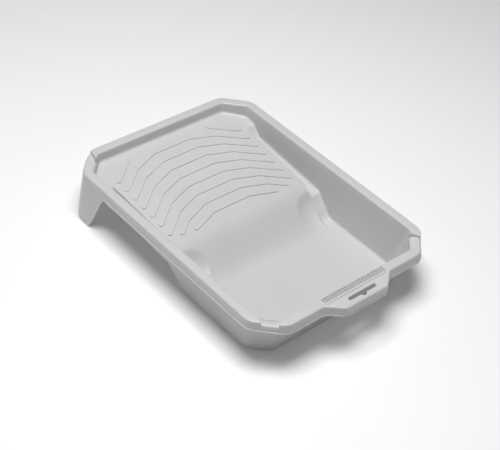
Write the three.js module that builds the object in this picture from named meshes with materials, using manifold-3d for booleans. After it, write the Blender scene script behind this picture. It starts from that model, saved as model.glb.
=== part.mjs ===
// Paint roller tray: a one-piece plastic moulding, built as the named regions that a mould maker
// would call out. Millimetres, +Z up, +Y towards the shallow end, -Y towards the hanging handle.
// The tray stands with the underside of its well and its two legs on z = 0.

import * as THREE from 'three';
import { mergeVertices } from 'three/addons/utils/BufferGeometryUtils.js';
import Module from 'manifold-3d';

const wasm = await Module();
wasm.setup();

// ---- Driving dimensions -------------------------------------------------------------------------

const RIM_HALF_WIDTH = 135; // rim outline, out to its top outer edge
const RIM_HALF_LENGTH = 186;
const CORNER_CUT = 31.2; // 45 degree cut at each corner, measured along a side
const CORNER_RADIUS = 20; // easing where a cut corner meets a side
const INNER_CORNER_RADIUS = 6; // the least easing, used inside the well
const RIM_WIDTH = 12.3; // flat top of the rim
const RIM_TOP = 68; // height above the table
const WALL = 2; // thickness of the moulding
const DRAFT = Math.tan(THREE.MathUtils.degToRad(5)); // slope of walls, skirt and legs
const SKIRT_BOTTOM = 55;
const BEAD = 0.8; // outward bead along the skirt's lower edge
const BEAD_HEIGHT = 1.6;
const BODY_SHIFT = 8; // the handle tab sticks out in front, so the rim's middle lies behind the origin

const FLOOR_TOP = WALL;
const FRONT_WALL_LEAN = 10.4; // extra slope of the front wall over the height of the well

const RAMP_HALF_WIDTH = 103.5; // at the middle of the rim's length
const RAMP_WIDENING = 0.035; // growth of the ramp's half width towards the back
const RAMP_BACK_Y = 170; // foot of the back wall
const RAMP_BACK_Z = 53.5;
const RAMP_FALL = 0.098; // drop for each millimetre towards the well
const RAMP_END_Y = 16; // here the ramp rolls over into the slope
const SLOPE_FOOT_Y = -46;
const SLOPE_EASE = 20; // how far the ramp and the floor reach into the slope's curve

const GUTTER_BACK_Y = 140;
const GUTTER_START_Y = 120;
const GUTTER_START_Z = 36.5;
const GUTTER_END_Y = 2;
const GUTTER_END_Z = 27;
const GUTTER_FOOT_Y = -32;
const OUTLET_CENTRES_X = [96, 103, 110, 117]; // shallow scoops ease each gutter's outlet
const OUTLET_CENTRE_Y = -48;
const OUTLET_CENTRE_Z = 58.8;
const OUTLET_RADIUS = 56;

const RIB_COUNT = 8;
const RIB_PITCH = 17.15;
const RIB_WIDTH = 6;
const RIB_HEIGHT = 1.4;
const RIB_TOP_Y = 150.4; // front edge of the first full rib, on the centre line
const RIB_CROWN_X = 28.5; // the flat crown's half length
const RIB_SHOULDER_X = 63.5;
const RIB_SHOULDER_DROP = 12.5;
const RIB_END_X = 96.5;
const RIB_END_DROP = 37.5;
const SHORT_RIB_END_X = [83, 63.5]; // the last two ribs stop earlier

const TAB_FRONT_Y = -203; // handle tab
const TAB_ROOT_HALF_WIDTH = 52;
const TAB_TIP_HALF_WIDTH = 32;
const TAB_CORNER_RADIUS = 9;
const TAB_ROOT_DEPTH = 4; // how far the tab's outline reaches into the rim
const TAB_ROOT_RADIUS = 0.5;
const HANG_SLOT_Y = -193;
const HANG_SLOT_HALF_LENGTH = 21.5;
const HANG_SLOT_WIDTH = 5;
const HANG_SLOT_END_RADIUS = 2.475;
const HANG_NICK_RADIUS = 4; // half-round nick for a nail, in the slot's outer edge

const COMB_TOOTH_COUNT = 32;
const COMB_HALF_LENGTH = 46.5;
const COMB_SLOT_DEPTH = 1.7;
const COMB_SLOT_LENGTH = 7.7;
const COMB_LAND = 0.8; // plain edge between the comb and the well
const SEAM_GROOVE_Y = -185.4;
const SEAM_GROOVE_WIDTH = 0.8;
const SEAM_GROOVE_DEPTH = 0.6;

const SPOUT_DEPTH = 4;
const CORNER_RIM_BOTTOM = 62; // corner rim regions reach below the spouts' floors

const LEG_ROOT_FILLET = 6; // legs, as seen from the side
const LEG_FRONT_ROOT_Y = 111;
const LEG_FRONT_LOW = [128.5, 9]; // y and z where the straight front edge ends
const LEG_FRONT_RUN = 1 / 3; // how far the front edge slants for each millimetre of height
const LEG_BACK_RUN = 1 / 5;
const LEG_FOOT_Y = [136, 143]; // flat end that stands on the table
const LEG_BACK_LOW = [160.5, 14];
const LEG_BACK_ROOT_Y = 168;

const CORNER_BOX_X = 92; // region limits, all on whole millimetres so that neighbours meet exactly
const CORNER_BOX_Y = 140;
const WELL_CORNER_X = 85;
const WELL_CORNER_Y = -125;
const SIDE_CUT_X = 114;
const BANK_INNER_X = 101; // the bank between ramp and gutter lies between these
const BANK_OUTER_X = 110;
const SLOPE_CUT_X = 62; // the gutters' outlets lie outside this
const RAMP_CUT_Y = 18;
const SLOPE_CUT_Y = -50;
const FRONT_CUT_Y = -150;
const BACK_CUT_Y = 165;
const COMB_CUT_X = 54;
const COMB_CUT_Y = -184;
const FAR = 400; // beyond every surface of the tray
const CLEAR = 1; // how far a cutting solid reaches past the face that it opens

const ARC_STEPS = 5;
const CURVE_STEPS = 9;
const RIB_END_STEPS = 16;
const NICK_STEPS = 20;
const SCOOP_STEPS = 64;
const WELD_DISTANCE = 1e-5;

// ---- Solids -------------------------------------------------------------------------------------

function solid(geometry) {
  const bare = geometry.index ? geometry.toNonIndexed() : geometry.clone();
  bare.deleteAttribute('normal');
  bare.deleteAttribute('uv');
  const merged = mergeVertices(bare, WELD_DISTANCE);
  return new wasm.Manifold(new wasm.Mesh({
    numProp: 3,
    vertProperties: new Float32Array(merged.attributes.position.array),
    triVerts: new Uint32Array(merged.index.array),
  }));
}

function geometryOf(body) {
  const mesh = body.getMesh();
  const geometry = new THREE.BufferGeometry();
  geometry.setAttribute('position', new THREE.BufferAttribute(new Float32Array(mesh.vertProperties), 3));
  geometry.setIndex(new THREE.BufferAttribute(new Uint32Array(mesh.triVerts), 1));
  geometry.computeVertexNormals();
  return geometry;
}

function block([x0, x1], [y0, y1], [z0, z1]) {
  const geometry = new THREE.BoxGeometry(x1 - x0, y1 - y0, z1 - z0);
  geometry.translate((x0 + x1) / 2, (y0 + y1) / 2, (z0 + z1) / 2);
  return solid(geometry);
}

// A closed outline with each corner eased by an arc. Points are [x, y, radius].
function easedOutline(corners) {
  const points = [];
  corners.forEach(([x, y, radius], index) => {
    const corner = new THREE.Vector2(x, y);
    const [px, py] = corners[(index + corners.length - 1) % corners.length];
    const [nx, ny] = corners[(index + 1) % corners.length];
    const toPrevious = new THREE.Vector2(px, py).sub(corner).normalize();
    const toNext = new THREE.Vector2(nx, ny).sub(corner).normalize();
    const halfAngle = Math.acos(THREE.MathUtils.clamp(toPrevious.dot(toNext), -1, 1)) / 2;
    const middle = toPrevious.clone().add(toNext).normalize();
    const centre = corner.clone().addScaledVector(middle, radius / Math.sin(halfAngle));
    const start = corner.clone().addScaledVector(toPrevious, radius / Math.tan(halfAngle)).sub(centre);
    const end = corner.clone().addScaledVector(toNext, radius / Math.tan(halfAngle)).sub(centre);
    const turn = Math.atan2(start.cross(end), start.dot(end));
    for (let step = 0; step <= ARC_STEPS; step += 1) {
      const spoke = start.clone().rotateAround(new THREE.Vector2(), (turn * step) / ARC_STEPS);
      points.push(centre.clone().add(spoke));
    }
  });
  return points;
}

// The tray in plan, every side moved out by grow, the front side moved in by lean.
function trayOutline(grow, lean = 0) {
  const x = RIM_HALF_WIDTH + grow;
  const back = RIM_HALF_LENGTH + grow;
  const front = -back + lean;
  const cut = CORNER_CUT + grow * (2 - Math.SQRT2);
  const radius = Math.max(CORNER_RADIUS + grow, INNER_CORNER_RADIUS);
  return easedOutline([
    [x, front + cut, radius], [x, back - cut, radius],
    [x - cut, back, radius], [-x + cut, back, radius],
    [-x, back - cut, radius], [-x, front + cut, radius],
    [-x + cut, front, radius], [x - cut, front, radius],
  ]);
}

// The handle tab in plan. Its back edge lies inside the rim.
function tabOutline(grow) {
  const side = grow * Math.tan(Math.PI / 8);
  const front = TAB_FRONT_Y - grow;
  const root = -RIM_HALF_LENGTH + TAB_ROOT_DEPTH;
  const rootHalf = TAB_ROOT_HALF_WIDTH + TAB_ROOT_DEPTH + grow * Math.SQRT2;
  return easedOutline([
    [rootHalf, root, TAB_ROOT_RADIUS], [-rootHalf, root, TAB_ROOT_RADIUS],
    [-TAB_TIP_HALF_WIDTH - side, front, TAB_CORNER_RADIUS],
    [TAB_TIP_HALF_WIDTH + side, front, TAB_CORNER_RADIUS],
  ]);
}

// A solid that runs straight from one outline to another with the same number of points.
function drafted(lower, lowerZ, upper, upperZ) {
  const geometry = new THREE.ExtrudeGeometry(new THREE.Shape(lower), {
    depth: upperZ - lowerZ, bevelEnabled: false, steps: 1,
  });
  const position = geometry.attributes.position;
  for (let index = 0; index < position.count; index += 1) {
    const here = new THREE.Vector2(position.getX(index), position.getY(index));
    if (position.getZ(index) > 0) {
      const distances = lower.map((point) => point.distanceToSquared(here));
      const match = upper[distances.indexOf(Math.min(...distances))];
      position.setXYZ(index, match.x, match.y, upperZ);
    } else {
      position.setZ(index, lowerZ);
    }
  }
  return solid(geometry);
}

// A side view, drawn with Y across and Z up, extruded along X.
function sideExtrusion(shape, x0, x1) {
  const geometry = new THREE.ExtrudeGeometry(shape, {
    depth: x1 - x0, bevelEnabled: false, steps: 1, curveSegments: CURVE_STEPS,
  });
  const across = new THREE.Vector3(0, 1, 0);
  const up = new THREE.Vector3(0, 0, 1);
  const along = new THREE.Vector3(1, 0, 0);
  geometry.applyMatrix4(new THREE.Matrix4().makeBasis(across, up, along));
  geometry.translate(x0, 0, 0);
  return solid(geometry);
}

function planExtrusion(points, z0, z1) {
  const geometry = new THREE.ExtrudeGeometry(new THREE.Shape(points), {
    depth: z1 - z0, bevelEnabled: false, steps: 1,
  });
  geometry.translate(0, 0, z0);
  return solid(geometry);
}

function mirrored(body) {
  const geometry = geometryOf(body);
  geometry.scale(-1, 1, 1);
  const corners = geometry.index.array;
  for (let corner = 0; corner < corners.length; corner += 3) {
    [corners[corner], corners[corner + 1]] = [corners[corner + 1], corners[corner]];
  }
  return solid(geometry);
}

// ---- Pan: ramp, gutters, slope, well and walls --------------------------------------------------

const rampHeight = (y) => RAMP_BACK_Z - RAMP_FALL * (RAMP_BACK_Y - y);

// Everything above the ramp, the slope and the well's floor, lowered by drop.
function aboveRamp(drop) {
  const shape = new THREE.Shape();
  shape.moveTo(FAR, rampHeight(FAR) - drop);
  shape.lineTo(FAR, FAR);
  shape.lineTo(-FAR, FAR);
  shape.lineTo(-FAR, FLOOR_TOP - drop);
  shape.lineTo(SLOPE_FOOT_Y, FLOOR_TOP - drop);
  shape.bezierCurveTo(
    SLOPE_FOOT_Y + SLOPE_EASE, FLOOR_TOP - drop,
    RAMP_END_Y - SLOPE_EASE, rampHeight(RAMP_END_Y - SLOPE_EASE) - drop,
    RAMP_END_Y, rampHeight(RAMP_END_Y) - drop,
  );
  shape.closePath();
  return shape;
}

// The same over a gutter, which leaves the ramp's surface at its back end and runs down to the well.
function aboveGutter(drop) {
  const fall = (GUTTER_START_Z - GUTTER_END_Z) / (GUTTER_START_Y - GUTTER_END_Y);
  const shape = new THREE.Shape();
  shape.moveTo(FAR, rampHeight(FAR) - drop);
  shape.lineTo(FAR, FAR);
  shape.lineTo(-FAR, FAR);
  shape.lineTo(-FAR, FLOOR_TOP - drop);
  shape.lineTo(GUTTER_FOOT_Y, FLOOR_TOP - drop);
  shape.bezierCurveTo(
    GUTTER_FOOT_Y + SLOPE_EASE / 2, FLOOR_TOP - drop,
    GUTTER_END_Y - SLOPE_EASE / 2, GUTTER_END_Z - (fall * SLOPE_EASE) / 2 - drop,
    GUTTER_END_Y, GUTTER_END_Z - drop,
  );
  shape.lineTo(GUTTER_START_Y, GUTTER_START_Z - drop);
  shape.bezierCurveTo(
    GUTTER_START_Y + SLOPE_EASE / 2, GUTTER_START_Z + (fall * SLOPE_EASE) / 2 - drop,
    GUTTER_BACK_Y - SLOPE_EASE / 2, rampHeight(GUTTER_BACK_Y - SLOPE_EASE / 2) - drop,
    GUTTER_BACK_Y, rampHeight(GUTTER_BACK_Y) - drop,
  );
  shape.closePath();
  return shape;
}

// The pan's hollow, or with skin = WALL the solid that the hollow is taken out of.
function panSolid(skin) {
  const lowerGrow = -RIM_WIDTH - DRAFT * RIM_TOP + skin;
  const lowerWalls = trayOutline(lowerGrow, FRONT_WALL_LEAN);
  const walls = drafted(lowerWalls, 0, trayOutline(skin - RIM_WIDTH), RIM_TOP);
  const edgeAt = (y) => RAMP_HALF_WIDTH - skin + RAMP_WIDENING * y;
  const gutterPlan = [[edgeAt(-FAR), -FAR], [FAR, -FAR], [FAR, FAR], [edgeAt(FAR), FAR]]
    .map(([x, y]) => new THREE.Vector2(x, y));
  const overRamp = sideExtrusion(aboveRamp(skin), -FAR, FAR);
  const overGutter = sideExtrusion(aboveGutter(skin), 0, FAR)
    .intersect(planExtrusion(gutterPlan, -FAR, FAR));
  const overFloor = block([-FAR, FAR], [-FAR, FAR], [FLOOR_TOP - skin, FAR]);
  let side = overGutter;
  for (const x of OUTLET_CENTRES_X) {
    const scoop = new THREE.SphereGeometry(OUTLET_RADIUS + skin, SCOOP_STEPS, SCOOP_STEPS);
    scoop.translate(x, OUTLET_CENTRE_Y, OUTLET_CENTRE_Z);
    side = side.add(solid(scoop).intersect(overFloor));
  }
  return overRamp.add(side).add(mirrored(side)).intersect(walls);
}

const hollow = panSolid(0);
const hollowAbove = planExtrusion(trayOutline(-RIM_WIDTH), RIM_TOP - CLEAR, RIM_TOP + CLEAR);
const pan = panSolid(WALL).subtract(hollow);

// ---- Rim, skirt and handle tab ------------------------------------------------------------------

const splay = (z) => (RIM_TOP - z) * DRAFT;

function outerShape(inset, z0, z1) {
  const low = splay(z0) - inset;
  const high = splay(z1) - inset;
  const body = drafted(trayOutline(low), z0, trayOutline(high), z1);
  return body.add(planExtrusion(tabOutline(-inset), z0, z1));
}

const flangeBottom = RIM_TOP - WALL;
const bead = outerShape(-BEAD, SKIRT_BOTTOM, SKIRT_BOTTOM + BEAD_HEIGHT);
const skirt = outerShape(0, SKIRT_BOTTOM, flangeBottom).add(bead)
  .subtract(outerShape(WALL, SKIRT_BOTTOM - CLEAR, flangeBottom + CLEAR));
const flange = outerShape(0, flangeBottom, RIM_TOP).subtract(hollow).subtract(hollowAbove);

// A pouring spout is a dip across the rim at a cut corner. Points run outer, outer, inner, inner.
const FRONT_SPOUT = [[-128.5, -172], [-117.5, -183], [-100.5, -169.5], [-117.5, -151.5]];
const BACK_SPOUT = [[-115.2, 177], [-101.4, 190], [-107.3, 158], [-120.7, 147.5]];

function spoutCut(points, grow, depth) {
  const corners = points.map(([x, y]) => new THREE.Vector2(x, y));
  const middle = corners.reduce((sum, corner) => sum.add(corner), new THREE.Vector2()).divideScalar(4);
  const grown = corners.map((corner) => {
    const away = corner.clone().sub(middle);
    return corner.clone().addScaledVector(away.normalize(), grow * Math.SQRT2);
  });
  if (THREE.ShapeUtils.area(grown) < 0) grown.reverse();
  return planExtrusion(grown, RIM_TOP - depth, RIM_TOP + CLEAR);
}

// One corner of the rim, with the top of the wall and of the skirt, and its spout if it has one.
function rimCorner(box, spout, flip) {
  const turn = (body) => (flip ? mirrored(body) : body);
  const upper = block(box.x, box.y, [CORNER_RIM_BOTTOM, RIM_TOP + CLEAR]);
  let corner = flange.add(pan).add(skirt).intersect(upper);
  if (spout) {
    const below = turn(spoutCut(spout, WALL, SPOUT_DEPTH + WALL));
    const away = turn(spoutCut(spout, 0, SPOUT_DEPTH));
    const sole = below.intersect(outerShape(0, CORNER_RIM_BOTTOM, RIM_TOP)).subtract(hollow);
    corner = corner.add(sole.intersect(upper)).subtract(away).subtract(hollow).subtract(hollowAbove);
  }
  return corner;
}

function hangSlot() {
  const half = HANG_SLOT_WIDTH / 2;
  const slot = easedOutline([
    [HANG_SLOT_HALF_LENGTH, HANG_SLOT_Y - half, HANG_SLOT_END_RADIUS],
    [HANG_SLOT_HALF_LENGTH, HANG_SLOT_Y + half, HANG_SLOT_END_RADIUS],
    [-HANG_SLOT_HALF_LENGTH, HANG_SLOT_Y + half, HANG_SLOT_END_RADIUS],
    [-HANG_SLOT_HALF_LENGTH, HANG_SLOT_Y - half, HANG_SLOT_END_RADIUS],
  ]);
  const nick = new THREE.CylinderGeometry(
    HANG_NICK_RADIUS, HANG_NICK_RADIUS, WALL + 2 * CLEAR, NICK_STEPS,
  );
  nick.rotateX(Math.PI / 2);
  nick.translate(0, HANG_SLOT_Y - half, RIM_TOP - WALL / 2);
  return planExtrusion(slot, flangeBottom - CLEAR, RIM_TOP + CLEAR).add(solid(nick));
}

function handleTab() {
  const plate = flange.intersect(block([-COMB_CUT_X, COMB_CUT_X], [-FAR, COMB_CUT_Y], [0, FAR]));
  const groove = block(
    [-COMB_HALF_LENGTH, COMB_HALF_LENGTH],
    [SEAM_GROOVE_Y - SEAM_GROOVE_WIDTH / 2, SEAM_GROOVE_Y + SEAM_GROOVE_WIDTH / 2],
    [RIM_TOP - SEAM_GROOVE_DEPTH, RIM_TOP + CLEAR],
  );
  return plate.subtract(hangSlot()).subtract(groove);
}

function brushComb() {
  let comb = flange.intersect(block([-COMB_CUT_X, COMB_CUT_X], [COMB_CUT_Y, 0], [0, FAR]));
  const pitch = (2 * COMB_HALF_LENGTH) / COMB_TOOTH_COUNT;
  const slotWidth = pitch / 2;
  const slotEnd = -RIM_HALF_LENGTH + RIM_WIDTH - COMB_LAND;
  for (let slot = 0; slot <= COMB_TOOTH_COUNT; slot += 1) {
    const x = -COMB_HALF_LENGTH + slot * pitch;
    comb = comb.subtract(block(
      [x - slotWidth / 2, x + slotWidth / 2],
      [slotEnd - COMB_SLOT_LENGTH, slotEnd],
      [RIM_TOP - COMB_SLOT_DEPTH, RIM_TOP + CLEAR],
    ));
  }
  return comb;
}

// ---- Legs ---------------------------------------------------------------------------------------

// A leg goes on down from the skirt round a back corner, and narrows to a rounded foot.
function legLeft() {
  const root = SKIRT_BOTTOM;
  const fillet = LEG_ROOT_FILLET;
  const [frontY, frontZ] = LEG_FRONT_LOW;
  const [backY, backZ] = LEG_BACK_LOW;
  const [footFront, footBack] = LEG_FOOT_Y;
  const shape = new THREE.Shape();
  shape.moveTo(LEG_FRONT_ROOT_Y - fillet, root);
  shape.quadraticCurveTo(LEG_FRONT_ROOT_Y, root, LEG_FRONT_ROOT_Y + fillet * LEG_FRONT_RUN, root - fillet);
  shape.lineTo(frontY, frontZ);
  shape.quadraticCurveTo(frontY + frontZ * LEG_FRONT_RUN, 0, footFront, 0);
  shape.lineTo(footBack, 0);
  shape.quadraticCurveTo(backY - backZ * LEG_BACK_RUN, 0, backY, backZ);
  shape.lineTo(LEG_BACK_ROOT_Y, root - fillet);
  shape.quadraticCurveTo(LEG_BACK_ROOT_Y + fillet * LEG_BACK_RUN, root, LEG_BACK_ROOT_Y + fillet, root);
  shape.closePath();
  const window = sideExtrusion(shape, -FAR, -RIM_HALF_WIDTH / 2);
  const outer = drafted(trayOutline(splay(0)), 0, trayOutline(splay(root)), root);
  const innerAt = (z) => trayOutline(splay(z) - WALL);
  const inner = drafted(innerAt(-CLEAR), -CLEAR, innerAt(root + CLEAR), root + CLEAR);
  return outer.subtract(inner).intersect(window);
}

// ---- Ramp ribs ----------------------------------------------------------------------------------

// Front edge of an arched rib as [x, y] points from left to right, out to endX on both sides.
function ribLine(topY, endX) {
  const half = [[RIB_CROWN_X, topY]];
  const dropAt = (x) => {
    const inner = (x - RIB_CROWN_X) / (RIB_SHOULDER_X - RIB_CROWN_X);
    const outer = (x - RIB_SHOULDER_X) / (RIB_END_X - RIB_SHOULDER_X);
    if (x <= RIB_SHOULDER_X) return RIB_SHOULDER_DROP * inner;
    return RIB_SHOULDER_DROP + (RIB_END_DROP - RIB_SHOULDER_DROP) * outer;
  };
  if (endX > RIB_SHOULDER_X) half.push([RIB_SHOULDER_X, topY - RIB_SHOULDER_DROP]);
  half.push([endX, topY - dropAt(endX)]);
  return [...half.map(([x, y]) => [-x, y]).reverse(), ...half];
}

// A flat band with round ends that follows a line of [x, y] points, laid on the ramp.
function ribBody(line) {
  const layer = sideExtrusion(aboveRamp(0), -FAR, FAR)
    .subtract(sideExtrusion(aboveRamp(-RIB_HEIGHT), -FAR, FAR));
  let band = null;
  const centre = line.map(([x, y]) => new THREE.Vector2(x, y + RIB_WIDTH / 2));
  const add = (geometry) => {
    geometry.translate(0, 0, rampHeight(0));
    band = band ? band.add(solid(geometry)) : solid(geometry);
  };
  centre.forEach((point, index) => {
    const disc = new THREE.CylinderGeometry(RIB_WIDTH / 2, RIB_WIDTH / 2, RIM_TOP, RIB_END_STEPS);
    disc.rotateX(Math.PI / 2);
    disc.translate(point.x, point.y, 0);
    add(disc);
    if (index === 0) return;
    const previous = centre[index - 1];
    const run = point.clone().sub(previous);
    const bar = new THREE.BoxGeometry(run.length(), RIB_WIDTH, RIM_TOP);
    bar.rotateZ(run.angle());
    bar.translate((point.x + previous.x) / 2, (point.y + previous.y) / 2, 0);
    add(bar);
  });
  return band.intersect(layer);
}

// ---- Assembly -----------------------------------------------------------------------------------

const tray = new THREE.Group();
tray.position.y = BODY_SHIFT;

const plastic = { color: 0xcbcbc9, roughness: 0.42, metalness: 0 };

function addPart(name, body) {
  const mesh = new THREE.Mesh(geometryOf(body), new THREE.MeshStandardMaterial(plastic));
  mesh.name = name;
  tray.add(mesh);
}

const LOW = [-CLEAR, flangeBottom];
const CORNER_LOW = [-CLEAR, CORNER_RIM_BOTTOM];
const sideSpan = (side, low, high) => (side < 0 ? [-high, -low] : [low, high]);
const SIDES = [['left', -1], ['right', 1]];

// Floor, walls and ramp.
const floorMain = block([-SIDE_CUT_X, SIDE_CUT_X], [WELL_CORNER_Y, SLOPE_CUT_Y], LOW);
const floorFront = block([-WELL_CORNER_X, WELL_CORNER_X], [FRONT_CUT_Y, WELL_CORNER_Y], LOW);
addPart('well_floor', pan.intersect(floorMain.add(floorFront)));
addPart('well_front_wall', pan.intersect(block([-WELL_CORNER_X, WELL_CORNER_X], [-FAR, FRONT_CUT_Y], LOW)));
addPart('roll_off_slope', pan.intersect(block([-SLOPE_CUT_X, SLOPE_CUT_X], [SLOPE_CUT_Y, RAMP_CUT_Y], LOW)));
const rampMain = block([-BANK_INNER_X, BANK_INNER_X], [RAMP_CUT_Y, CORNER_BOX_Y], LOW);
const rampHead = block([-CORNER_BOX_X, CORNER_BOX_X], [CORNER_BOX_Y, BACK_CUT_Y], LOW);
addPart('ramp_plate', pan.intersect(rampMain.add(rampHead)));
addPart('ramp_back_wall', pan.intersect(block([-CORNER_BOX_X, CORNER_BOX_X], [BACK_CUT_Y, FAR], LOW)));
for (const [name, side] of SIDES) {
  const cut = (body, x, y, z) => body.intersect(block(sideSpan(side, x[0], x[1]), y, z));
  // the top of the wall near a corner belongs to the corner's rim
  const top = block(sideSpan(side, CORNER_BOX_X, FAR), [CORNER_BOX_Y, FAR], [CORNER_RIM_BOTTOM, FAR])
    .add(block(sideSpan(side, CORNER_BOX_X, FAR), [-FAR, -CORNER_BOX_Y], [CORNER_RIM_BOTTOM, FAR]));
  addPart(`well_corner_${name}`, cut(pan, [WELL_CORNER_X, FAR], [-FAR, WELL_CORNER_Y], LOW).subtract(top));
  addPart(`outlet_${name}`, cut(pan, [SLOPE_CUT_X, SIDE_CUT_X], [SLOPE_CUT_Y, RAMP_CUT_Y], LOW));
  addPart(`well_wall_${name}`, cut(pan, [SIDE_CUT_X, FAR], [WELL_CORNER_Y, RAMP_CUT_Y], LOW));
  addPart(`ramp_wall_${name}`, cut(pan, [SIDE_CUT_X, FAR], [RAMP_CUT_Y, CORNER_BOX_Y], LOW));
  addPart(`gutter_floor_${name}`, cut(pan, [BANK_OUTER_X, SIDE_CUT_X], [RAMP_CUT_Y, CORNER_BOX_Y], LOW));
  addPart(`gutter_bank_${name}`, cut(pan, [BANK_INNER_X, BANK_OUTER_X], [RAMP_CUT_Y, CORNER_BOX_Y], LOW));
  addPart(`ramp_corner_${name}`, cut(pan, [CORNER_BOX_X, FAR], [CORNER_BOX_Y, FAR], CORNER_LOW));
}

// Rim and skirt along the sides and the ends.
for (const [name, side] of SIDES) {
  const along = block(sideSpan(side, CORNER_BOX_X, FAR), [-CORNER_BOX_Y, CORNER_BOX_Y], [0, FAR]);
  addPart(`rim_${name}`, flange.intersect(along));
  addPart(`skirt_${name}`, skirt.intersect(along));
  const front = block(sideSpan(side, COMB_CUT_X, CORNER_BOX_X), [-FAR, 0], [0, FAR]);
  addPart(`rim_front_${name}`, flange.intersect(front));
  addPart(`skirt_front_${name}`, skirt.intersect(front));
  const frontBox = { x: sideSpan(side, CORNER_BOX_X, FAR), y: [-FAR, -CORNER_BOX_Y] };
  const backBox = { x: sideSpan(side, CORNER_BOX_X, FAR), y: [CORNER_BOX_Y, FAR] };
  addPart(`rim_corner_front_${name}`, rimCorner(frontBox, FRONT_SPOUT, side > 0));
  addPart(`rim_corner_back_${name}`, rimCorner(backBox, side < 0 ? BACK_SPOUT : null, false));
  addPart(`skirt_corner_front_${name}`, skirt.intersect(block(frontBox.x, frontBox.y, CORNER_LOW)));
  addPart(`skirt_corner_back_${name}`, skirt.intersect(block(backBox.x, backBox.y, CORNER_LOW)));
  addPart(`leg_${name}`, side < 0 ? legLeft() : mirrored(legLeft()));
}
const backSpan = block([-CORNER_BOX_X, CORNER_BOX_X], [0, FAR], [0, FAR]);
addPart('rim_back', flange.intersect(backSpan));
addPart('skirt_back', skirt.intersect(backSpan));

// Handle and brush comb.
addPart('handle_tab', handleTab());
addPart('handle_skirt', skirt.intersect(block([-COMB_CUT_X, COMB_CUT_X], [-FAR, 0], [0, FAR])));
addPart('brush_comb', brushComb());

// Ribs on the ramp: eight arches, and behind them the two outer ends of a ninth.
for (let rib = 0; rib < RIB_COUNT; rib += 1) {
  const short = SHORT_RIB_END_X[rib - (RIB_COUNT - SHORT_RIB_END_X.length)];
  addPart(`ramp_rib_${rib + 1}`, ribBody(ribLine(RIB_TOP_Y - rib * RIB_PITCH, short ?? RIB_END_X)));
}
const stubLine = ribLine(RIB_TOP_Y + RIB_PITCH, RIB_END_X);
addPart('ramp_rib_stub_left', ribBody(stubLine.slice(0, 2)));
addPart('ramp_rib_stub_right', ribBody(stubLine.slice(-2)));

export default tray;
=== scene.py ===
# Looks of the paint roller tray: one plastic moulding. Its skin is shaped, with its radii, as four
# sheets that meet edge to edge. They are parted at flat planes into named regions, and each region
# is given its wall thickness.
# Lengths are in millimetres until a mesh is made. The frame, camera and lights are in metres.

import math

import bpy
import numpy as np
from mathutils import Matrix, Vector
from mathutils.geometry import delaunay_2d_cdt


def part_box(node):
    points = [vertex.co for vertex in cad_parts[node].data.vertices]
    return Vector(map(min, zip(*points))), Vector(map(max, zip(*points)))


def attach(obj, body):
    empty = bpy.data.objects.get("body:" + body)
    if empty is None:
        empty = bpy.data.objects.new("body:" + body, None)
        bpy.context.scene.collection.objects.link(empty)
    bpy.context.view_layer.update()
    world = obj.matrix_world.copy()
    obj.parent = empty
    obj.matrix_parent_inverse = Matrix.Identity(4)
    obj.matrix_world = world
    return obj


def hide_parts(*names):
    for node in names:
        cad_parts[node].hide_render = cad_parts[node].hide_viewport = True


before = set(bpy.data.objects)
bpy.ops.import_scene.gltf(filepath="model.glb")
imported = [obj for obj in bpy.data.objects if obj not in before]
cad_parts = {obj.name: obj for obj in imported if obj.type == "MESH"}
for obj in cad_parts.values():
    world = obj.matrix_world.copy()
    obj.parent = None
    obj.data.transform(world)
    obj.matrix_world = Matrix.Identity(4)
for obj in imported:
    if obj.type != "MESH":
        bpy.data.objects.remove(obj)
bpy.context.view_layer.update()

MM = 0.001
DRAFT = math.tan(math.radians(5))
WALL = 2.0


def side_mm(node, corner, axis):
    """One side of a CAD node's box, in millimetres."""
    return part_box(node)[corner][axis] / MM


# ---- Main sizes, from the frame ---------------------------------------------------------------

RIM_TOP = side_mm("rim_back", 1, 2)
SKIRT_LOW = side_mm("skirt_back", 0, 2)
HALF_WIDTH = side_mm("rim_right", 1, 0) - WALL * DRAFT
BACK_Y = side_mm("rim_back", 1, 1) - WALL * DRAFT
FRONT_Y = side_mm("rim_front_left", 0, 1) + WALL * DRAFT
MIDDLE_Y = (BACK_Y + FRONT_Y) / 2
TAB_FRONT_Y = side_mm("handle_tab", 0, 1)
FLOOR_TOP = side_mm("well_floor", 0, 2) + WALL
COMB_CUT_Y = side_mm("brush_comb", 0, 1)

RIM_WIDTH = 12.3
CORNER_CUT = 31.2
CORNER_RADIUS = 20.0
INNER_CORNER_RADIUS = 8.0
FOOT_CORNER_RADIUS = 24.0
FRONT_LEAN = 10.4

RIM_EDGE_RADIUS = 2.2
INNER_EDGE_RADIUS = 2.2
FOOT_RADIUS = 4.0
Z_RIM = 60.0
BEAD_WIDTH = 0.8
RIM_EDGE_STEPS = 5
INNER_EDGE_STEPS = 4
FOOT_STEPS = 6

TAB_ROOT_HALF = 51.8
TAB_TIP_HALF = 32.0
TAB_CORNER_RADIUS = 9.0
TAB_ROOT_RADIUS = 7.0


# ---- Heights of the pan's inside --------------------------------------------------------------

RAMP_BACK_Y = MIDDLE_Y + 170
RAMP_BACK_Z = 53.5
RAMP_FALL = 0.098
RAMP_END_Y = MIDDLE_Y + 16
SLOPE_FOOT_Y = MIDDLE_Y - 46
SLOPE_EASE = 20.0
MOUTH_EASE = 12.0
EASE_POINTS = 81

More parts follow.
